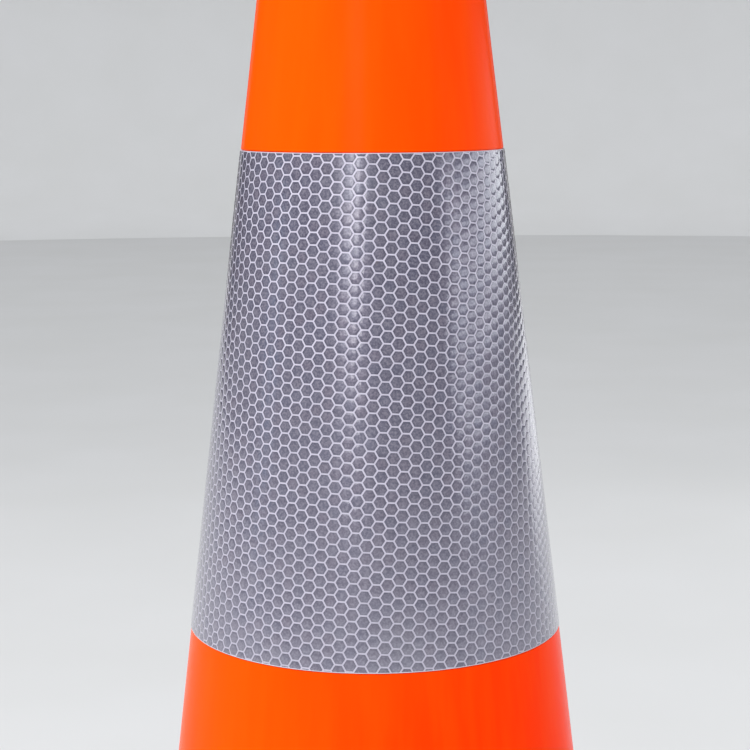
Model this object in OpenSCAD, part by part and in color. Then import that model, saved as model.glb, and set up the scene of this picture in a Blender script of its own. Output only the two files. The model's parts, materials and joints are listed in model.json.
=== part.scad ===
// Traffic cone: a flexible PVC body with a recycled-PVC base moulded round its foot flange,
// and two prismatic reflective collars that lie in shallow seats on the body.
// Millimetres, +Z up. The origin is on the ground, under the centre of the cone.

/* [Cone body] */
// Overall height, from the ground to the rim
overall_h = 711; // [600:1:950]
// Outside diameter that the straight taper would have at the rim
top_d = 61; // [54:0.5:76]
// Angle between the side of the cone and its axis, in degrees
half_angle = 6.85; // [5:0.05:8.5]
// Thickness of the body's side
body_wall = 2.6; // [2:0.1:4]
// Diameter of the opening in the top
mouth_d = 44; // [36:0.5:46]
// Depth of the straight part of that opening
mouth_depth = 12; // [6:0.5:25]
// Radius of the rounded edges of the rim
rim_round = 2.2; // [1:0.1:3]

/* [Foot flange] */
// How far the flange stands out from the side of the cone
flange_w = 20; // [14:0.5:26]
// Thickness of the flange
flange_t = 4; // [2.5:0.1:6]
// Number of holes through which the base locks to the flange
lock_count = 12; // [6:1:18]
// Diameter of those holes
lock_d = 10; // [6:0.5:12]

/* [Stacking ribs] */
// Number of ribs inside the foot that keep stacked cones from wedging
rib_count = 8; // [4:1:12]
// How far a rib stands in from the wall
rib_depth = 2.5; // [1:0.1:4]
// Width of a rib
rib_w = 4; // [2:0.1:8]
// Height of a rib
rib_h = 70; // [30:1:110]

/* [Base] */
// How far the base's flats stand out from the side of the cone at the flange
base_margin = 63.3; // [58:0.1:90]
// Length cut off each side at a corner
corner_cut = 44; // [30:1:60]
// Radius of the base's upright edges
corner_round = 12; // [8:0.5:20]
// Thickness of the slab
slab_t = 15; // [12:0.5:25]
// Bevel round the slab's top edge
slab_bevel = 4; // [1:0.5:6]
// Height of the raised platform above the slab
platform_h = 7; // [4:0.5:15]
// How far the platform reaches out from the side of the cone at its top
platform_w = 26; // [20:0.5:32]
// How far out the platform's sloping side runs
platform_slope = 14; // [6:0.5:20]
// Height of the ring that hugs the cone, above the platform
boss_h = 6; // [3:0.5:12]
// Width of that ring at its top
boss_w = 6; // [4:0.5:10]
// Rubber left under the flange
under_flange = 5; // [3:0.5:8]

/* [Feet] */
// Height of the feet under the slab
foot_h = 5; // [3:0.5:8]
// Diameter of a foot
foot_d = 40; // [24:1:44]
// Distance of a corner foot's centre from the base's two flats
foot_inset = 52; // [46:1:60]
// Distance of a side foot's centre from its flat
side_foot_inset = 28; // [26:1:34]

/* [Collars] */
// Distance from the rim down to the upper collar
upper_from_top = 89; // [76:1:102]
// Width of the upper collar, along its axis
upper_w = 151.3; // [120:0.1:160]
// Bare gap between the two collars
collar_gap = 51; // [40:1:70]
// Width of the lower collar, along its axis
lower_w = 100.9; // [80:0.1:110]
// Thickness of the clear prismatic face film
face_t = 0.25; // [0.15:0.01:0.6]
// Thickness of the white backing film
backing_t = 0.2; // [0.1:0.01:0.5]
// Gap where a collar's two ends meet
seam_gap = 0.4; // [0.1:0.1:2]
// Gap between a collar's edge and the shoulder of its seat
seat_gap = 0.3; // [0.1:0.05:1]
// Direction of the collars' seams round the axis, in degrees from +X
seam_angle = 65.4; // [0:0.1:360]

/* [Hidden] */
$fn = 96;
HULL_FN = 32;
ARC_STEPS = 6;
// How far a cut runs past the face that it opens
CUT_OVER = 1;
// Length over which a rib's top runs out, as a multiple of its depth
RIB_RUNOUT = 4;
// Most of the rim's wall that one rounded edge may take
RIM_SHARE = 0.45;

orange = "#ff5a05";
black = "#1d1e20";
film_grey = "#9a9aa8";
film_white = "#e9e9f0";

taper = tan(half_angle);
film_t = face_t + backing_t;
base_bottom = foot_h;
flange_z = base_bottom + under_flange;
slab_top = base_bottom + slab_t;
platform_top = slab_top + platform_h;
boss_top = platform_top + boss_h;

upper_top = overall_h - upper_from_top;
upper_bottom = upper_top - upper_w;
lower_top = upper_bottom - collar_gap;
lower_bottom = lower_top - lower_w;

// Radius of the body's plain outside at height z, and of its inside.
function outer_r(z) = top_d / 2 + taper * (overall_h - z);
function inner_r(z) = outer_r(z) - body_wall / cos(half_angle);
// Radius of the floor of a collar's seat at height z.
function seat_r(z) = outer_r(z) - film_t / cos(half_angle);
// Points of an arc about [x, z], from angle a to angle b.
function arc(x, z, r, a, b) =
  [for (i = [0:ARC_STEPS]) let (t = a + (b - a) * i / ARC_STEPS) [x + r * cos(t), z + r * sin(t)]];

base_half = outer_r(flange_z) + base_margin;
flange_r = outer_r(flange_z) + flange_w;
lock_pcr = outer_r(flange_z) + flange_w / 2;
mouth_r = mouth_d / 2;
// The rim's rounding, held to what the wall between the mouth and the outside can take.
rim_r = min(rim_round, RIM_SHARE * (outer_r(overall_h) - mouth_r));
mouth_bottom = overall_h - rim_r - mouth_depth;
// The mouth's thick wall runs out to the plain inside on a 45 degree slope.
neck_run = inner_r(mouth_bottom) - mouth_r;

// A shallow seat for a collar between two heights, as profile points going up.
function seat_points(low, high) = [
  [outer_r(low), low],
  [seat_r(low), low],
  [seat_r(high), high],
  [outer_r(high), high]
];

module body_profile() {
  polygon(concat(
    [[inner_r(flange_z), flange_z]],
    [[flange_r, flange_z]],
    [[flange_r, flange_z + flange_t]],
    [[outer_r(flange_z + flange_t), flange_z + flange_t]],
    seat_points(lower_bottom - seat_gap, lower_top + seat_gap),
    seat_points(upper_bottom - seat_gap, upper_top + seat_gap),
    arc(outer_r(overall_h) - rim_r, overall_h - rim_r, rim_r, half_angle, 90),
    arc(mouth_r + rim_r, overall_h - rim_r, rim_r, 90, 180),
    [[mouth_r, mouth_bottom]],
    [[inner_r(mouth_bottom - neck_run), mouth_bottom - neck_run]]
  ));
}

// One rib inside the foot, on the +X side, bounded by the taper on both faces.
module stacking_rib() {
  rib_low = flange_z;
  rib_high = rib_low + rib_h;
  rib_full = rib_high - RIB_RUNOUT * rib_depth;
  intersection() {
    translate([0, -rib_w / 2, rib_low]) cube([outer_r(0), rib_w, rib_h]);
    rotate_extrude() polygon([
      [inner_r(rib_low) - rib_depth, rib_low],
      [inner_r(rib_low) + body_wall / 2, rib_low],
      [inner_r(rib_high) + body_wall / 2, rib_high],
      [inner_r(rib_high), rib_high],
      [inner_r(rib_full) - rib_depth, rib_full]
    ]);
  }
}

module flange_holes() {
  for (i = [0:lock_count - 1]) rotate(i * 360 / lock_count)
    translate([lock_pcr, 0, flange_z - CUT_OVER]) cylinder(d = lock_d, h = flange_t + 2 * CUT_OVER);
}

module cone_body() {
  color(orange) {
    difference() {
      rotate_extrude() body_profile();
      flange_holes();
    }
    for (i = [0:rib_count - 1]) rotate((i + 0.5) * 360 / rib_count) stacking_rib();
  }
}

// The eight upright edges of the base, inset by its corner radius.
function slab_corners() =
  let (half = base_half - corner_round, cut = half - corner_cut)
  [for (x = [-1, 1], y = [-1, 1], p = [[half, cut], [cut, half]]) [x * p[0], y * p[1]]];

module slab() {
  translate([0, 0, base_bottom]) hull() for (p = slab_corners()) translate(p) {
    cylinder(r = corner_round, h = slab_t - slab_bevel, $fn = HULL_FN);
    cylinder(r = corner_round - slab_bevel, h = slab_t, $fn = HULL_FN);
  }
}

// The upright space over the slab's flat top, which the platform keeps within.
module above_slab_top() {
  translate([0, 0, base_bottom]) hull() for (p = slab_corners())
    translate(p) cylinder(r = corner_round - slab_bevel, h = boss_top, $fn = HULL_FN);
}

// Platform and hugging ring, as one turned form round the foot of the cone.
module platform_profile() {
  top_r = outer_r(platform_top) + platform_w;
  polygon([
    [0, slab_top - CUT_OVER],
    [top_r + platform_slope, slab_top - CUT_OVER],
    [top_r + platform_slope, slab_top],
    [top_r, platform_top],
    [outer_r(platform_top) + boss_w + boss_h / 2, platform_top],
    [outer_r(boss_top) + boss_w, boss_top],
    [0, boss_top]
  ]);
}

// All the space that the body and the hollow inside it take up within the base.
module body_space() {
  translate([0, 0, -CUT_OVER]) cylinder(r = inner_r(flange_z), h = flange_z + 2 * CUT_OVER);
  translate([0, 0, flange_z])
    cylinder(r1 = outer_r(flange_z), r2 = outer_r(boss_top + CUT_OVER), h = boss_top + CUT_OVER - flange_z);
  difference() {
    translate([0, 0, flange_z]) cylinder(r = flange_r, h = flange_t);
    flange_holes();
  }
}

// A foot at each corner and in the middle of each side.
module feet() {
  corner = base_half - foot_inset;
  side = base_half - side_foot_inset;
  for (turn = [0:90:270], p = [[corner, corner], [side, 0]])
    rotate(turn) translate(p) cylinder(d = foot_d, h = foot_h + CUT_OVER);
}

module weighted_base() {
  color(black) difference() {
    union() {
      slab();
      intersection() {
        rotate_extrude() platform_profile();
        above_slab_top();
      }
      feet();
    }
    body_space();
  }
}

// A film wound once round a seat between two heights, with its faces from_t and to_t off the seat's floor.
// Its two ends meet at the seam.
module collar_film(low, high, from_t, to_t) {
  rotate(seam_angle) difference() {
    rotate_extrude() polygon([
      [seat_r(low) + from_t / cos(half_angle), low],
      [seat_r(low) + to_t / cos(half_angle), low],
      [seat_r(high) + to_t / cos(half_angle), high],
      [seat_r(high) + from_t / cos(half_angle), high]
    ]);
    translate([0, -seam_gap / 2, low - CUT_OVER])
      cube([outer_r(low) + CUT_OVER, seam_gap, high - low + 2 * CUT_OVER]);
  }
}

module collar_backing(low, high) {
  color(film_white) collar_film(low, high, 0, backing_t);
}

module collar_face_film(low, high) {
  color(film_grey) collar_film(low, high, backing_t, film_t);
}

cone_body();
weighted_base();
collar_backing(upper_bottom, upper_top);  // upper_collar_backing
collar_face_film(upper_bottom, upper_top);  // upper_collar_face_film
collar_backing(lower_bottom, lower_top);  // lower_collar_backing
collar_face_film(lower_bottom, lower_top);  // lower_collar_face_film
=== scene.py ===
"""Looks of the traffic cone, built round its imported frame. Metres, +Z up, the front towards -Y."""
import json
import math

import bmesh
import bpy
import numpy as np
from mathutils import Matrix, Vector


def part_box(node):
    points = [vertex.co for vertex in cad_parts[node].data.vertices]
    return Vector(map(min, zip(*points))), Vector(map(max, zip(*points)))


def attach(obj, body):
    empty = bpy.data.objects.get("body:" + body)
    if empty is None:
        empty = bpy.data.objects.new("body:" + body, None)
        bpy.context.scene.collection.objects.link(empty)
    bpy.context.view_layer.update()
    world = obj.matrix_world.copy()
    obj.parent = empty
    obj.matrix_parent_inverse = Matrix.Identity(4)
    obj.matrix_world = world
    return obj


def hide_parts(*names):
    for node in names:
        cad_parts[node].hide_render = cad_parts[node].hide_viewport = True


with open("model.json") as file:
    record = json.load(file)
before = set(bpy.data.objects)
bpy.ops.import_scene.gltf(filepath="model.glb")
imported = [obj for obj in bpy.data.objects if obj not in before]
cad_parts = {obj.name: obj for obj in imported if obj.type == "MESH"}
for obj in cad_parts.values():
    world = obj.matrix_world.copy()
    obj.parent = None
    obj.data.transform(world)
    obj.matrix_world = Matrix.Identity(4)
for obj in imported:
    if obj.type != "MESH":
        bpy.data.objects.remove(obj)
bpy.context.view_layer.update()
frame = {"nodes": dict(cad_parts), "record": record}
MM = 0.001
RNG = np.random.default_rng(7)


# ---------------------------------------------------------------- sizes, all read from the frame

def radius_at(node, z, inner=False):
    """Distance from the axis of a node's outermost or innermost vertex at height z."""
    found = [math.hypot(v.co.x, v.co.y) for v in frame["nodes"][node].data.vertices
             if abs(v.co.z - z) < 0.05 * MM]
    return min(found) if inner else max(found)


UPPER_LOW, UPPER_HIGH = (p.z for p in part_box("upper_collar_face_film"))
LOWER_LOW, LOWER_HIGH = (p.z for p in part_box("lower_collar_face_film"))
COLLARS = {"upper": (UPPER_LOW, UPPER_HIGH), "lower": (LOWER_LOW, LOWER_HIGH)}
UPPER_R = radius_at("upper_collar_face_film", UPPER_HIGH)
LOWER_R = radius_at("lower_collar_face_film", LOWER_LOW)
TAPER = (LOWER_R - UPPER_R) / (UPPER_HIGH - LOWER_LOW)
HALF_ANGLE = math.atan(TAPER)
FACE_IN = radius_at("upper_collar_face_film", UPPER_HIGH, inner=True)
SEAT_FLOOR = radius_at("upper_collar_backing", UPPER_HIGH, inner=True)
BACKING_T = (FACE_IN - SEAT_FLOOR) * math.cos(HALF_ANGLE)
FACE_T = (UPPER_R - FACE_IN) * math.cos(HALF_ANGLE)

BODY_LOW, BODY_HIGH = (p.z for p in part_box("cone_body"))
FOOT_R = radius_at("cone_body", BODY_LOW, inner=True)
MOUNTS = {m["name"]: m for m in frame["record"]["mounts"]}
MOUTH_R = MOUNTS["top_mouth"]["dims"]["r_mm"] * MM
MOUTH_MID = MOUNTS["top_mouth"]["pos_m"][2]
MOUTH_LOW = MOUTH_MID - MOUNTS["top_mouth"]["dims"]["length_mm"] * MM / 2
RIM_R = 2 * (BODY_HIGH - MOUTH_MID) - (BODY_HIGH - MOUTH_LOW)
BASE_LOW, BASE_HIGH = (p.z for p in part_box("weighted_base"))
BASE_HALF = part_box("weighted_base")[1].x
APEX_Z = UPPER_HIGH + UPPER_R / TAPER


def outer_r(z):
    """Radius of the cone's plain outside at height z."""
    return (APEX_Z - z) * TAPER


WALL = (outer_r(BODY_LOW) - FOOT_R) * math.cos(HALF_ANGLE)
SEAT_GAP = 0.3 * MM


def inner_r(z):
    """Radius of the cone's inside at height z."""
    return outer_r(z) - WALL / math.cos(HALF_ANGLE)


# ---------------------------------------------------------------- camera

def make_camera():
    """The camera stands in front, a little above the upper collar's top edge, and looks slightly down."""
    distance, above = 603.6 * MM, 17.8 * MM
    tilt, yaw, roll = math.radians(8.411), 0.00072, -0.00587
    data = bpy.data.cameras.new("camera")
    data.lens, data.sensor_width = 92.1, 36.0
    camera = bpy.data.objects.new("camera", data)
    bpy.context.scene.collection.objects.link(camera)
    forward = Vector((math.sin(yaw) * math.cos(tilt), math.cos(yaw) * math.cos(tilt), -math.sin(tilt)))
    right = Vector((math.cos(yaw), -math.sin(yaw), 0))
    up = right.cross(forward)
    turned_right = math.cos(roll) * right + math.sin(roll) * up
    turned_up = math.cos(roll) * up - math.sin(roll) * right
    turn = Matrix((turned_right, turned_up, -forward)).transposed()
    camera.matrix_world = Matrix.Translation((0, -distance, UPPER_HIGH + above)) @ turn.to_4x4()
    bpy.context.scene.camera = camera


# ---------------------------------------------------------------- material helpers

class Nodes:
    """A short way to write a node tree: each call adds a node and returns its first output."""

    def __init__(self, name):
        self.material = bpy.data.materials.new(name)
        self.material.use_nodes = True
        self.tree = self.material.node_tree
        self.bsdf = self.tree.nodes["Principled BSDF"]

    def add(self, kind, inputs=None, **settings):
        node = self.tree.nodes.new(kind)
        for key, value in settings.items():
            setattr(node, key, value)
        for key, value in (inputs or {}).items():
            self.set(node.inputs[key], value)
        return node

    def set(self, socket, value):
        if isinstance(value, bpy.types.NodeSocket):
            self.tree.links.new(value, socket)
        else:
            socket.default_value = value

    def place(self, scale=(1, 1, 1)):
        """The piece's own coordinates in metres, scaled."""
        coords = self.add("ShaderNodeTexCoord").outputs["Object"]
        return self.add("ShaderNodeMapping", {"Vector": coords, "Scale": scale}).outputs[0]

    def noise(self, scale, detail=3.0, roughness=0.5, vector=None):
        inputs = {"Scale": scale, "Detail": detail, "Roughness": roughness}
        inputs["Vector"] = vector if vector is not None else self.place()
        return self.add("ShaderNodeTexNoise", inputs).outputs[0]

    def ramp(self, value, stops):
        node = self.add("ShaderNodeValToRGB", {"Fac": value})
        elements = node.color_ramp.elements
        while len(elements) < len(stops):
            elements.new(0.5)
        for element, (position, colour) in zip(elements, stops):
            element.position = position
            element.color = colour if len(colour) == 4 else (*colour, 1)
        return node.outputs[0]

    def levels(self, value, low, high, to_low=0.0, to_high=1.0):
        inputs = {0: value, 1: low, 2: high, 3: to_low, 4: to_high}
        return self.add("ShaderNodeMapRange", inputs).outputs[0]

    def mix(self, factor, a, b, blend="MIX"):
        node = self.add("ShaderNodeMix", data_type="RGBA", blend_type=blend)
        for index, value in ((0, factor), (6, a), (7, b)):
            if isinstance(value, tuple) and len(value) == 3:
                value = (*value, 1)
            self.set(node.inputs[index], value)
        return node.outputs[2]

    def math(self, operation, a, b=0.0):
        return self.add("ShaderNodeMath", {0: a, 1: b}, operation=operation).outputs[0]

    def attribute(self, name):
        return self.add("ShaderNodeAttribute", attribute_name=name).outputs["Fac"]

    def bump(self, height, distance, strength=1.0):
        inputs = {"Height": height, "Distance": distance, "Strength": strength}
        return self.add("ShaderNodeBump", inputs).outputs[0]

    def film_painted_lower_light(self, most):
        """Mask of painted light towards the bottom of a collar, uneven in patches: the cells take it as a
        painted reflection and the lines as painted shade.
        """
        height = self.add("ShaderNodeSeparateXYZ", {"Vector": self.place()}).outputs["Z"]
        return self.math("MULTIPLY", self.levels(height, 0.60, 0.46, 0.0, most),
                         self.levels(self.noise(60.0, 4.0), 0.3, 0.7, 0.7, 1.3))

    def finish(self, **inputs):
        for key, value in inputs.items():
            self.set(self.bsdf.inputs[key.replace("_", " ")], value)
        return self.material


# ---------------------------------------------------------------- materials

def orange_pvc():
    """Fluorescent orange moulded PVC: painted paler on the left, where more light falls, and painted darker
    and redder lower down on the right, as shade, with soft mottling, faint upright flow lines, light scuffs
    and some dirt near the foot. Its weak emission is a painted glow that lifts it in shade."""
    n = Nodes("orange_pvc")
    around = n.add("ShaderNodeTexGradient", {"Vector": n.place()}, gradient_type="RADIAL").outputs["Fac"]
    # Painted light: by angle round the axis, the left side is tinted paler as if lit and the right side
    # deeper as if in shade
    lit_side_painted, half_lit_painted, shade_side_painted = (1.0, 0.084, 0.0003), (1.0, 0.070, 0.0002), (1.0, 0.058, 0.0001)
    stops = [(0.0, lit_side_painted), (0.14, lit_side_painted), (0.26, half_lit_painted), (0.36, shade_side_painted), (0.62, shade_side_painted), (0.9, lit_side_painted)]
    colour = n.ramp(around, stops)
    height = n.add("ShaderNodeSeparateXYZ", {"Vector": n.place()}).outputs["Z"]
    # Painted shade: lower down on the front and right, the orange is darkened and reddened
    shaded = n.ramp(around, [(0.12, (0, 0, 0)), (0.28, (1, 1, 1)), (0.62, (1, 1, 1)), (0.85, (0, 0, 0))])
    painted_low_shade = n.math("MULTIPLY", shaded, n.levels(height, 0.62, 0.44, 0.0, 0.8))
    colour = n.mix(painted_low_shade, colour, (1.0, 0.028, 0.0))
    flow = n.noise(1.0, 4.0, 0.55, n.place((170, 170, 3)))
    cloud = n.noise(14.0, 3.0)
    colour = n.mix(n.levels(cloud, 0.45, 0.75, 0.0, 0.35), colour, (1.0, 0.055, 0.0001))
    colour = n.mix(n.levels(flow, 0.4, 0.65, 0.0, 0.15), colour, (1.0, 0.12, 0.002))
    scuff = n.levels(n.noise(1.0, 6.0, 0.7, n.place((900, 900, 160))), 0.66, 0.76)
    colour = n.mix(n.math("MULTIPLY", scuff, 0.06), colour, (1.0, 0.30, 0.10))
    soiled = n.math("MULTIPLY", n.levels(height, 0.30, 0.03), n.levels(n.noise(30.0, 6.0, 0.7), 0.5, 0.75))
    colour = n.mix(n.math("MULTIPLY", soiled, 0.35), colour, (0.42, 0.10, 0.03))
    relief = n.math("ADD", n.math("MULTIPLY", flow, 0.5), n.math("MULTIPLY", n.noise(900.0, 2.0), 0.04))
    n.set(n.bsdf.inputs["Roughness"], n.levels(cloud, 0.3, 0.7, 0.2, 0.27))
    # The weak orange emission is a painted glow that keeps the orange bright where it is in shade
    return n.finish(
        Base_Color=colour, Specular_IOR_Level=0.03, Emission_Color=(1.0, 0.06, 0.0, 1),
        Emission_Strength=0.08, Normal=n.bump(relief, 0.03 * MM))


def prismatic_cell():
    """The film inside a cell: grey-violet microprisms, which mirror a little, under a clear glossy face."""
    n = Nodes("prismatic_cell")
    tone, rim = n.attribute("cell_tone"), n.attribute("cell_rim_prisms_and_shade")
    grain = n.noise(1500.0, 2.0, 0.6)
    cloud = n.noise(30.0, 3.0)
    smudge = n.noise(75.0, 4.0, 0.6)
    stops = [(0.0, (0.215, 0.21, 0.295)), (0.5, (0.225, 0.21, 0.285)), (1.0, (0.245, 0.215, 0.29))]
    colour = n.ramp(tone, stops)
    colour = n.mix(n.levels(grain, 0.48, 0.66, 0.0, 0.85), colour, (0.36, 0.34, 0.42))
    colour = n.mix(n.levels(grain, 0.50, 0.34, 0.0, 0.7), colour, (0.11, 0.105, 0.16))
    # Partly painted shade: each cell darkens towards its rim, partly the prisms' own darker edge and partly
    # shade painted where the dome meets the seal line
    colour = n.mix(n.math("MULTIPLY", rim, 0.6), colour, (0.09, 0.09, 0.14))
    colour = n.mix(n.levels(cloud, 0.55, 0.8, 0.0, 0.15), colour, (0.42, 0.44, 0.46))
    # Painted reflection: the cells are paled towards the bottom of the collar
    colour = n.mix(n.film_painted_lower_light(0.3), colour, (0.36, 0.35, 0.41))
    colour = n.mix(n.levels(smudge, 0.70, 0.78, 0.0, 0.5), colour, (0.22, 0.16, 0.12))
    return n.finish(
        Base_Color=colour, Metallic=0.38, Roughness=0.27, Specular_IOR_Level=0.5,
        Coat_Weight=1.0, Coat_Roughness=0.05, Coat_IOR=1.5, Normal=n.bump(grain, 0.012 * MM))


def sealed_line():
    """The heat-sealed lines between cells, where the white backing shows through the clear face."""
    n = Nodes("sealed_line")
    patch = n.noise(160.0, 4.0, 0.6)
    colour = n.ramp(patch, [(0.3, (0.47, 0.445, 0.545)), (0.7, (0.585, 0.555, 0.665))])
    # Painted shade: the lines are darkened towards the bottom of the collar
    colour = n.mix(n.film_painted_lower_light(0.6), colour, (0.385, 0.37, 0.445))
    return n.finish(
        Base_Color=colour, Roughness=0.33, Specular_IOR_Level=0.4, Coat_Weight=0.6, Coat_Roughness=0.08,
        Normal=n.bump(n.noise(1800.0), 0.01 * MM))


def white_film():
    """Satin white film: the backing, and the cut edge of the face film."""
    n = Nodes("white_film")
    colour = n.ramp(n.noise(90.0, 4.0), [(0.3, (0.50, 0.47, 0.53)), (0.7, (0.62, 0.59, 0.65))])
    return n.finish(Base_Color=colour, Roughness=0.42, Normal=n.bump(n.noise(1200.0), 0.01 * MM))


def black_pvc():
    """Recycled PVC: near black, with crumbs of other greys, sparse paler flecks, a moulded grain, patches
    of dust and edges rubbed pale."""
    n = Nodes("black_recycled_pvc")
    crumbs = n.add("ShaderNodeTexVoronoi", {"Vector": n.place(), "Scale": 420.0}).outputs["Color"]
    fleck = n.add("ShaderNodeTexVoronoi", {"Vector": n.place(), "Scale": 190.0})
    patches = n.levels(n.noise(60.0, 2.0), 0.57, 0.65)
    chip = n.math("MULTIPLY", n.levels(fleck.outputs["Distance"], 0.26, 0.16), patches)
    grain = n.noise(520.0, 4.0, 0.65)
    cloud = n.noise(18.0, 4.0, 0.6)
    scuff = n.levels(n.noise(1.0, 7.0, 0.7, n.place((60, 420, 200))), 0.56, 0.72)
    place = n.add("ShaderNodeSeparateXYZ", {"Vector": n.place()}).outputs
    across = n.math("MAXIMUM", n.math("ABSOLUTE", place["X"]), n.math("ABSOLUTE", place["Y"]))
    near_edge = n.levels(across, BASE_HALF - 9 * MM, BASE_HALF - 2 * MM)
    edge = n.math("MULTIPLY", near_edge, n.levels(grain, 0.46, 0.6))
    colour = n.ramp(cloud, [(0.3, (0.014, 0.014, 0.015)), (0.7, (0.028, 0.028, 0.029))])
    colour = n.mix(n.levels(crumbs, 0.55, 1.0, 0.0, 0.7), colour, (0.055, 0.054, 0.053))
    colour = n.mix(n.levels(cloud, 0.48, 0.72, 0.0, 0.35), colour, (0.105, 0.10, 0.092))
    colour = n.mix(n.math("MULTIPLY", scuff, 0.4), colour, (0.11, 0.108, 0.104))
    colour = n.mix(n.math("MULTIPLY", edge, 0.45), colour, (0.13, 0.127, 0.12))
    colour = n.mix(n.math("MULTIPLY", chip, 0.55), colour, (0.15, 0.142, 0.13))
    relief = n.math("ADD", grain, n.math("MULTIPLY", n.noise(150.0, 3.0), 0.7))
    n.set(n.bsdf.inputs["Roughness"], n.levels(cloud, 0.3, 0.7, 0.42, 0.62))
    return n.finish(Base_Color=colour, Specular_IOR_Level=0.45, Normal=n.bump(relief, 0.35 * MM))


def plain_stage(name, grey):
    """Matt paper of one grey, very slightly mottled."""
    n = Nodes(name)
    paler = (grey + 0.02, grey + 0.02, grey + 0.025)
    colour = n.ramp(n.noise(3.0, 2.0), [(0.3, (grey, grey, grey)), (0.7, paler)])
    return n.finish(Base_Color=colour, Roughness=0.85, Specular_IOR_Level=0.2)


# ---------------------------------------------------------------- mesh helpers

def new_piece(name, verts, faces, materials, replaced, crease=35):
    """Makes a smooth-shaded piece that rides on the cone and stands for the given CAD nodes."""
    mesh = bpy.data.meshes.new(name)
    mesh.from_pydata([tuple(v) for v in verts], [], faces)
    for material in materials:
        mesh.materials.append(material)
    mesh.shade_smooth()
    mesh.set_sharp_from_angle(angle=math.radians(crease))
    piece = bpy.data.objects.new(name, mesh)
    bpy.context.scene.collection.objects.link(piece)
    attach(piece, "root")
    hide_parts(*replaced)
    return piece


def grid_faces(rows, columns, close_rows=False, close_columns=True, start=0):
    """Quads of a grid of points, whose columns run round the axis."""
    faces = []
    for i in range(rows if close_rows else rows - 1):
        for j in range(columns if close_columns else columns - 1):
            k, m = (i + 1) % rows, (j + 1) % columns
            faces.append(tuple(start + a * columns + b for a, b in ((i, j), (i, m), (k, m), (k, j))))
    return faces


def between(points, step):
    """The points of a polyline with more put in, so that none are further apart than step."""
    out = [points[0]]
    for (r0, z0), (r1, z1) in zip(points, points[1:]):
        count = max(1, math.ceil(math.hypot(r1 - r0, z1 - z0) / step))
        out += [(r0 + (r1 - r0) * i / count, z0 + (z1 - z0) * i / count) for i in range(1, count + 1)]
    return out


def arc(r, z, radius, start, end, steps=8):
    """Points of an arc about (r, z), from one angle to another, in degrees."""
    angles = [math.radians(start + (end - start) * i / steps) for i in range(steps + 1)]
    return [(r + radius * math.cos(a), z + radius * math.sin(a)) for a in angles]


def turned(profile, columns, warp=None):
    """A closed profile of (r, z) points turned about the axis, moved out by warp(angle, z)."""
    angles = np.arange(columns) * 2 * math.pi / columns
    verts = []
    for r, z in profile:
        radii = r + (warp(angles, z) if warp else 0)
        verts += list(zip(radii * np.cos(angles), radii * np.sin(angles), np.full(columns, z)))
    return verts, grid_faces(len(profile), columns, close_rows=True)


# ---------------------------------------------------------------- the body

def body_warp(angles, z):
    """Slight out-of-round and upright waves that moulding leaves, always inwards, fading at the rim."""
    slow = 0.10 * np.cos(2 * angles + 3 * z) + 0.05 * np.cos(3 * angles - 5 * z + 1)
    waves = 0.012 * np.cos(17 * angles + 2.0 * math.sin(9 * z)) + 0.008 * np.cos(29 * angles - 6 * z)
    return (slow + waves - 0.18) * MM * min(1.0, (BODY_HIGH - z) / (60 * MM))


def seat(low, high):
    """The shallow seat of a collar, from its lower shoulder to its upper one, with softened shoulders."""
    depth = (BACKING_T + FACE_T) / math.cos(HALF_ANGLE)
    low, high, soft = low - SEAT_GAP, high + SEAT_GAP, 0.08 * MM
    return [(outer_r(low - soft), low - soft), (outer_r(low) - soft, low), (outer_r(low) - depth, low),
            (outer_r(high) - depth, high), (outer_r(high) - soft, high),
            (outer_r(high + soft), high + soft)]


def make_body(material):
    """The hollow cone: its outside with the two seats, the rounded rim, the mouth and the inside."""
    lean = math.degrees(HALF_ANGLE)
    rim_z = BODY_HIGH - RIM_R
    rim_out = outer_r(BODY_HIGH) - RIM_R
    neck = inner_r(MOUTH_LOW) - MOUTH_R
    profile = [(outer_r(BODY_LOW), BODY_LOW)]
    profile += seat(LOWER_LOW, LOWER_HIGH) + seat(UPPER_LOW, UPPER_HIGH)
    profile += arc(rim_out, rim_z, RIM_R, lean, 90) + arc(MOUTH_R + RIM_R, rim_z, RIM_R, 90, 180)
    profile += [(MOUTH_R, MOUTH_LOW), (inner_r(MOUTH_LOW - neck), MOUTH_LOW - neck), (FOOT_R, BODY_LOW)]
    profile = between(profile, 8 * MM)
    verts, faces = turned(profile, 360, body_warp)
    return new_piece("cone_shell", verts, faces, [material], ["cone_body"])


RIB_COUNT = 8
RIB_H, RIB_DEPTH, RIB_HALF_W = 70 * MM, 2.5 * MM, 2 * MM
# How far a rib is sunk into the wall behind it
RIB_SINK = 0.3 * MM


def make_ribs(material):
    """The stacking ribs inside the foot: rounded strips that run out at their tops."""
    low, high = BODY_LOW, BODY_LOW + RIB_H
    across, rows = 9, 24
    verts, faces = [], []
    for k in range(RIB_COUNT):
        turn = (k + 0.5) * 2 * math.pi / RIB_COUNT
        start = len(verts)
        for i in range(rows):
            z = low + (high - low) * i / (rows - 1)
            rise = RIB_DEPTH * min(1.0, (high - z) / (4 * RIB_DEPTH))
            for j in range(across):
                a = math.pi * j / (across - 1)
                r = inner_r(z) + RIB_SINK - (rise + RIB_SINK) * math.sin(a) ** 0.5
                side = -RIB_HALF_W * math.cos(a)
                verts.append((r * math.cos(turn) - side * math.sin(turn),
                              r * math.sin(turn) + side * math.cos(turn), z))
        faces += grid_faces(rows, across, close_columns=False, start=start)
    return new_piece("stacking_ribs", verts, faces, [material], ["cone_body"])


# ---------------------------------------------------------------- the collars

# Where a collar's ends meet, as an angle from +X, and the gap between them
SEAM = math.radians(65.4)
SEAM_GAP = 0.4 * MM
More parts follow.
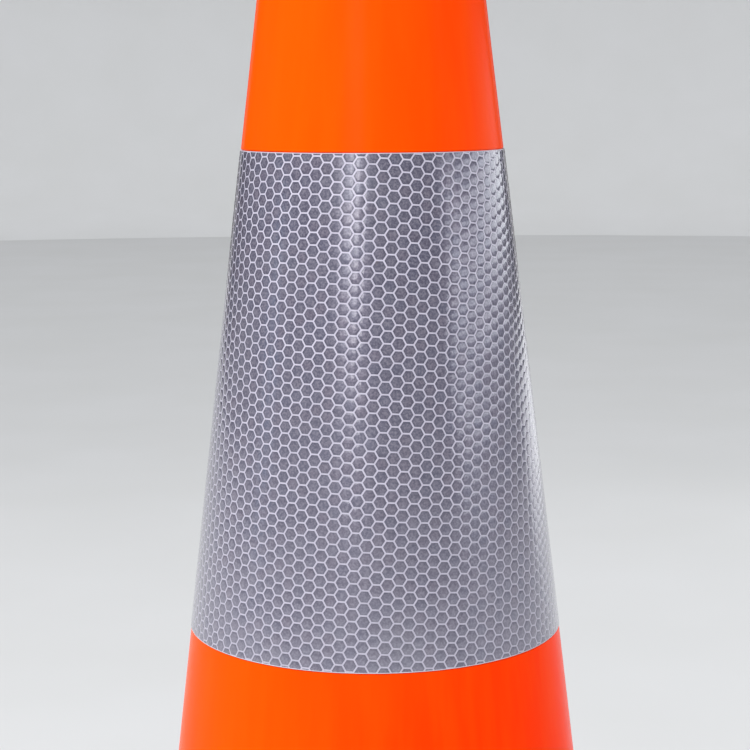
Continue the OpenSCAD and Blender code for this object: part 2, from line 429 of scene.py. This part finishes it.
# Cells stand in columns along the sheet, and every second column is half a cell lower
CELL_PITCH = 3.724 * MM
COLUMN_PITCH = 3.380 * MM
LINE_HALF = 0.235 * MM
LINE_SINK = 0.03 * MM
# Height of a dome's middle, and the share of its width and of its height that its inner ring has
DOME = 0.055 * MM
DOME_STEP = 0.62
# Plain strip along a collar's top and bottom edge
BORDER = 0.22 * MM
# Corners that round to the same step of this size are one vertex
SNAP = 0.05 * MM
# Slack places: angle from the sheet's centre line, mm below the top, half-widths in radians and mm, mm high
BLISTERS = [
    (1.20, 60, 0.10, 9, 0.20), (1.36, 76, 0.08, 8, 0.16), (1.15, 88, 0.09, 8, 0.20),
    (1.33, 104, 0.09, 8, 0.17), (1.18, 118, 0.10, 9, 0.15), (1.05, 40, 0.12, 14, 0.10),
    (1.45, 124, 0.08, 9, 0.12), (1.50, 50, 0.08, 12, 0.12),
]


def film_swell(angle, down):
    """How far the film stands off, at an angle round the axis and a distance from its top: it is slack in
    a few shallow blisters on one side, and nearly flat elsewhere."""
    swell = 0.012 * np.sin(9 * angle + 30 * down) * np.sin(70 * down + 2 * angle)
    for around, below, wide, tall, height in BLISTERS:
        sideways, along = (angle - around) / wide, (down - below * MM) / (tall * MM)
        swell += height * np.exp(-sideways ** 2 - along ** 2)
    return swell * MM


def hex_sheet(low, high, offset):
    """A sheet of sealed cells in its own plane: points as (angle, distance from apex, height), with faces.
    A cell has a ring of seal line, then a shallow dome in two steps."""
    sine = math.sin(HALF_ANGLE)
    near, far = outer_r(high) / sine, outer_r(low) / sine
    reach = math.pi * sine
    half_w = far * math.sin(reach) + 2 * COLUMN_PITCH
    columns = range(-math.ceil(half_w / COLUMN_PITCH), math.ceil(half_w / COLUMN_PITCH) + 1)
    corner = [(2 / 3, 0), (1 / 3, 0.5), (-1 / 3, 0.5), (-2 / 3, 0), (-1 / 3, -0.5), (1 / 3, -0.5)]
    corner = np.array([(x * COLUMN_PITCH, y * CELL_PITCH) for x, y in corner])
    inset = 1 - LINE_HALF / (CELL_PITCH / 2)
    verts, faces, kinds, tones, rims, shared = [], [], [], [], [], {}

    def vertex(x, y, height, tone, rim, share=False):
        key = (round(x / SNAP), round(y / SNAP))
        if share and key in shared:
            return shared[key]
        verts.append((math.atan2(x, y), math.hypot(x, y), height))
        tones.append(tone)
        rims.append(rim)
        if share:
            shared[key] = len(verts) - 1
        return len(verts) - 1

    for column in columns:
        x = column * COLUMN_PITCH + offset[0]
        first = near + offset[1] + (column % 2) * CELL_PITCH / 2
        for row in range(-math.ceil(far * 0.12 / CELL_PITCH) - 8, math.ceil((far - near) / CELL_PITCH) + 2):
            y = first + row * CELL_PITCH
            rho = math.hypot(x, y)
            past_end = abs(math.atan2(x, y)) > reach + 4 * MM / near
            if past_end or not near - CELL_PITCH < rho < far + CELL_PITCH:
                continue
            tone, lift = RNG.uniform(0, 1), DOME * RNG.uniform(0.7, 1.3)
            lean = RNG.normal(0, 0.008, 2)
            outer = [vertex(x + cx, y + cy, -LINE_SINK, tone, 0, True) for cx, cy in corner]
            rings = [outer]
            # The last number is how far a ring darkens the cell's colour: partly the prisms' darker edge,
            # partly painted shade
            for share, rise, rim in ((inset, 0.0, 1.0), (DOME_STEP * inset, DOME_STEP, 0.15)):
                ring = []
                for cx, cy in corner * share:
                    tilt = (lean[0] * cx + lean[1] * cy) * (rise > 0)
                    ring.append(vertex(x + cx, y + cy, rise * lift + tilt, tone, rim))
                rings.append(ring)
            centre = vertex(x, y, lift, tone, 0)
            for (inside, outside), kind in (((rings[1], rings[0]), 1), ((rings[2], rings[1]), 0)):
                for i in range(6):
                    j = (i + 1) % 6
                    faces.append((outside[i], outside[j], inside[j], inside[i]))
                    kinds.append(kind)
            for i in range(6):
                faces.append((rings[2][i], rings[2][(i + 1) % 6], centre))
                kinds.append(0)
    return verts, faces, kinds, tones, rims, (near, far, reach)


def trim(mesh_data, ends):
    """Cuts the sheet at its top, its bottom and its two ends, and gives the cut an edge of its own."""
    near, far, reach = ends
    cuts = [((0, near, 0), (0, -1, 0)), ((0, far, 0), (0, 1, 0)),
            ((reach, 0, 0), (1, 0, 0)), ((-reach, 0, 0), (-1, 0, 0))]
    for point, normal in cuts:
        parts = mesh_data.verts[:] + mesh_data.edges[:] + mesh_data.faces[:]
        bmesh.ops.bisect_plane(mesh_data, geom=parts, plane_co=point, plane_no=normal, clear_outer=True)
    for y in (near + BORDER, far - BORDER):
        parts = mesh_data.verts[:] + mesh_data.edges[:] + mesh_data.faces[:]
        bmesh.ops.bisect_plane(mesh_data, geom=parts, plane_co=(0, y, 0), plane_no=(0, 1, 0))
    for face in mesh_data.faces:
        if not near + BORDER < face.calc_center_median().y < far - BORDER:
            face.material_index = 2
    rim_edges = [e for e in mesh_data.edges if e.is_boundary]
    wall = bmesh.ops.extrude_edge_only(mesh_data, edges=rim_edges)["geom"]
    for part in wall:
        if isinstance(part, bmesh.types.BMVert):
            part.co.z = -FACE_T
        elif isinstance(part, bmesh.types.BMFace):
            part.material_index = 2


def make_face_film(which, materials, offset):
    """Winds a trimmed sheet of cells on to the cone, over its backing."""
    low, high = COLLARS[which]
    verts, faces, kinds, tones, rims, ends = hex_sheet(low, high, offset)
    mesh = bpy.data.meshes.new(which + "_face_film")
    mesh.from_pydata(verts, [], faces)
    mesh.polygons.foreach_set("material_index", kinds)
    mesh.attributes.new("cell_tone", "FLOAT", "POINT").data.foreach_set("value", tones)
    mesh.attributes.new("cell_rim_prisms_and_shade", "FLOAT", "POINT").data.foreach_set("value", rims)
    data = bmesh.new()
    data.from_mesh(mesh)
    trim(data, ends)
    data.to_mesh(mesh)
    data.free()
    flat = np.zeros(len(mesh.vertices) * 3)
    mesh.vertices.foreach_get("co", flat)
    phi, rho, height = flat.reshape(-1, 3).T
    sine, cosine = math.sin(HALF_ANGLE), math.cos(HALF_ANGLE)
    seam_share = 1 - SEAM_GAP / (2 * math.pi * outer_r(high))
    around = phi / sine * seam_share
    swell = np.where(height > -FACE_T * 0.9, film_swell(around, rho - ends[0]), 0)
    out = height + swell
    angle = around + SEAM + math.pi
    r = rho * sine + out * cosine
    z = APEX_Z - rho * cosine + out * sine
    mesh.vertices.foreach_set("co", np.stack([r * np.cos(angle), r * np.sin(angle), z], 1).ravel())
    mesh.flip_normals()
    for material in materials:
        mesh.materials.append(material)
    mesh.shade_smooth()
    mesh.set_sharp_from_angle(angle=math.radians(40))
    piece = bpy.data.objects.new(which + "_face_film", mesh)
    bpy.context.scene.collection.objects.link(piece)
    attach(piece, "root")
    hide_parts(which + "_collar_face_film")
    return piece


def make_backing(which, material):
    """The white film under the cells, as a thin band that stops short of itself at the seam."""
    low, high = COLLARS[which]
    columns = 360
    depth = (BACKING_T + FACE_T) / math.cos(HALF_ANGLE)
    thick = BACKING_T / math.cos(HALF_ANGLE)
    corners = [(low, 0), (low, thick), (high, thick), (high, 0)]
    gap = SEAM_GAP / 2 / outer_r((low + high) / 2)
    verts = []
    for z, out in corners:
        for j in range(columns):
            angle = SEAM + gap + (2 * math.pi - 2 * gap) * j / (columns - 1)
            r = outer_r(z) - depth + out
            verts.append((r * math.cos(angle), r * math.sin(angle), z))
    faces = grid_faces(4, columns, close_rows=True, close_columns=False)
    faces += [tuple(i * columns for i in range(4)), tuple(i * columns + columns - 1 for i in (3, 2, 1, 0))]
    return new_piece(which + "_backing_film", verts, faces, [material],
                     [which + "_collar_backing"])


# ---------------------------------------------------------------- the base

# The frame gives only the base's whole extent, so its details and the feet have values of their own
FOOT_H = 5 * MM
FOOT_RADIUS = 20 * MM
FOOT_INSET, SIDE_FOOT_INSET = 52 * MM, 28 * MM
SLAB_T = 15 * MM
SLAB_BEVEL = 4 * MM
CORNER_CUT = 44 * MM
LEDGE = 14 * MM
PLATFORM_H = 7 * MM
PLATFORM_FOOT_W, PLATFORM_TOP_W = 40 * MM, 24.5 * MM
RING_W = 6 * MM
SOFT_EDGE = 0.8 * MM
# A larger power gives the outline sharper corners
OUTLINE_POWER = 22


def outline_radius(angle, half):
    """How far the base's outline is from the axis at an angle: a square with cut and rounded corners."""
    eighth = math.pi / 4
    turn = (angle + eighth) % (2 * eighth) - eighth
    diagonal = (2 * half - CORNER_CUT) / math.sqrt(2)
    sides = [(half, 0.0), (diagonal, eighth), (diagonal, -eighth), (half, 2 * eighth), (half, -2 * eighth)]
    total = sum(max(0.0, math.cos(turn - a) / d) ** OUTLINE_POWER for d, a in sides)
    return total ** (-1 / OUTLINE_POWER)


def make_base(material):
    """The slab, platform and hugging ring as one closed skin of rings that pass from the slab's outline to
    circles round the cone."""
    columns = 384
    slab_low, slab_high = BASE_LOW + FOOT_H, BASE_LOW + FOOT_H + SLAB_T
    platform, top = slab_high + PLATFORM_H, BASE_HIGH
    foot = outer_r(platform) + PLATFORM_FOOT_W
    rings = []

    def outline(inset, z):
        rings.append([(outline_radius(a, BASE_HALF - inset), z) for a in angles])

    def circle(r, z):
        rings.append([(r, z)] * columns)

    angles = [2 * math.pi * j / columns for j in range(columns)]
    for r, z in arc(0, slab_low + 1.5 * MM, 1.5 * MM, -90, 0, 4):
        outline(1.5 * MM - r, z)
    for r, z in arc(0, slab_high - SLAB_BEVEL, SLAB_BEVEL, 0, 90, 8):
        outline(SLAB_BEVEL - r, z)
    outline(LEDGE, slab_high)
    for r, z in arc(foot + 2 * MM, slab_high + 3 * MM, 3 * MM, -90, -150, 5):
        circle(r, z)
    for r, z in arc(outer_r(platform) + PLATFORM_TOP_W, platform - 2.5 * MM, 2.5 * MM, 30, 90, 6):
        circle(r, z)
    ring_out = outer_r(top) + RING_W
    for r, z in arc(ring_out + 5 * MM, platform + 2 * MM, 2 * MM, -90, -160, 5):
        circle(r, z)
    for r, z in arc(ring_out - 1.6 * MM, top - 1.6 * MM, 1.6 * MM, 20, 90, 5):
        circle(r, z)
    circle(outer_r(top) + 0.9 * MM, top)
    circle(outer_r(top - 0.7 * MM) + 0.05 * MM, top - 0.7 * MM)
    circle(outer_r(BODY_LOW) + 0.05 * MM, BODY_LOW)
    circle(FOOT_R, BODY_LOW)
    circle(FOOT_R, slab_low + SOFT_EDGE)
    circle(FOOT_R + SOFT_EDGE, slab_low)
    verts = [(r * math.cos(a), r * math.sin(a), z) for ring in rings for (r, z), a in zip(ring, angles)]
    faces = grid_faces(len(rings), columns, close_rows=True)
    return new_piece("base_slab", verts, faces, [material], ["weighted_base"],
                     crease=50)


def make_feet(material):
    """The eight round feet, with softened rims, under the slab."""
    columns, soft, into_slab = 64, 1.2 * MM, 0.5 * MM
    corner, side = BASE_HALF - FOOT_INSET, BASE_HALF - SIDE_FOOT_INSET
    section = [(FOOT_RADIUS * 0.5, BASE_LOW)]
    section += arc(FOOT_RADIUS - soft, BASE_LOW + soft, soft, -90, 0, 5)
    section += [(FOOT_RADIUS, BASE_LOW + FOOT_H + into_slab)]
    verts, faces = [], []
    for turn in range(4):
        for x, y in ((corner, corner), (side, 0.0)):
            start = len(verts)
            centre = Matrix.Rotation(turn * math.pi / 2, 3, "Z") @ Vector((x, y, 0))
            for r, z in section:
                for j in range(columns):
                    a = 2 * math.pi * j / columns
                    verts.append((centre.x + r * math.cos(a), centre.y + r * math.sin(a), z))
            faces += [f[::-1] for f in grid_faces(len(section), columns, start=start)]
            faces.append(tuple(range(start, start + columns)))
    return new_piece("base_feet", verts, faces, [material], ["weighted_base"])


# ---------------------------------------------------------------- the studio

def make_stage():
    """A round floor of pale paper, and the wall that it sweeps up into on all sides. Only the floor shows
    in reflections, so that the glossy film is not flooded."""
    floor = [(r, 0) for r in (0.001, 0.5, 1.2, 2.4, 4.0, 6.0, 8.0)]
    wall = arc(8.0, 1.5, 1.5, -90, 0, 14) + [(9.5, 3.0)]
    parts = [("studio_floor", 0.68, floor), ("studio_wall", 0.79, wall)]
    for name, grey, profile in parts:
        verts, _ = turned(profile, 96)
        mesh = bpy.data.meshes.new(name)
        mesh.from_pydata(verts, [], grid_faces(len(profile), 96))
        mesh.materials.append(plain_stage(name, grey))
        mesh.shade_smooth()
        part = bpy.data.objects.new(name, mesh)
        part.visible_glossy = name == "studio_floor"
        bpy.context.scene.collection.objects.link(part)


def softbox(name, azimuth, elevations, wide, radiance, colour=(1, 1, 1), distance=2.5):
    """A rectangular light seen from the collar between two elevations, at an azimuth from the front that is
    positive to the right. Its radiance is what a mirror on the cone would show."""
    low, high = (math.radians(e) for e in elevations)
    middle, tall = (low + high) / 2, 2 * distance * math.tan((high - low) / 2)
    wide = 2 * distance * math.tan(math.radians(wide) / 2)
    data = bpy.data.lights.new(name, "AREA")
    data.shape, data.size, data.size_y = "RECTANGLE", wide, tall
    data.energy, data.color = radiance * math.pi * wide * tall, colour
    lamp = bpy.data.objects.new(name, data)
    a, aim = math.radians(azimuth), Vector((0, 0, (UPPER_LOW + UPPER_HIGH) / 2))
    out = Vector((math.sin(a) * math.cos(middle), -math.cos(a) * math.cos(middle), math.sin(middle)))
    lamp.location = aim + distance * out
    lamp.rotation_euler = (-out).to_track_quat("-Z", "Y").to_euler()
    lamp.visible_camera = False
    bpy.context.scene.collection.objects.link(lamp)


def make_lights():
    """Soft light from the whole sky, a key from the left, and softboxes that show in the gloss."""
    world = bpy.data.worlds.new("studio")
    world.use_nodes = True
    world.node_tree.nodes["Background"].inputs["Color"].default_value = (0.96, 0.98, 1.0, 1)
    world.node_tree.nodes["Background"].inputs["Strength"].default_value = 0.85
    bpy.context.scene.world = world
    world.cycles_visibility.glossy = False
    bpy.context.scene.view_settings.view_transform = "Standard"
    softbox("key", -50, (40, 65), 24, 14.0)
    softbox("front_strip", -13.5, (7.5, 40), 6.5, 4.0)
    softbox("front_glow", -21, (7.5, 40), 9, 1.4)
    softbox("left_strip", -80, (-2, 9), 8, 0.5, (0.45, 0.72, 1.0))
    softbox("left_rim", -158, (-4, 30), 8, 0.5)
    softbox("right_window", 100, (3, 9.2), 84, 2.2, (0.93, 0.97, 1.0))
    softbox("right_strip", 68, (9, 40), 4, 1.6)
    softbox("far_right_strip", 119, (8.5, 40), 4, 1.2)
    softbox("right_low", 143, (-9.5, -3.5), 30, 0.8, (0.95, 0.97, 1.0))
    softbox("right_rim", 160, (-4, 30), 8, 0.6)


# ---------------------------------------------------------------- the model

make_camera()
orange = orange_pvc()
white = white_film()
black = black_pvc()
film = [prismatic_cell(), sealed_line(), white]
make_body(orange)
make_ribs(orange)
make_face_film("upper", film, (0.97 * MM, 2.72 * MM))
make_face_film("lower", film, (-0.6 * MM, 1.1 * MM))
make_backing("upper", white)
make_backing("lower", white)
make_base(black)
make_feet(black)
make_stage()
make_lights()
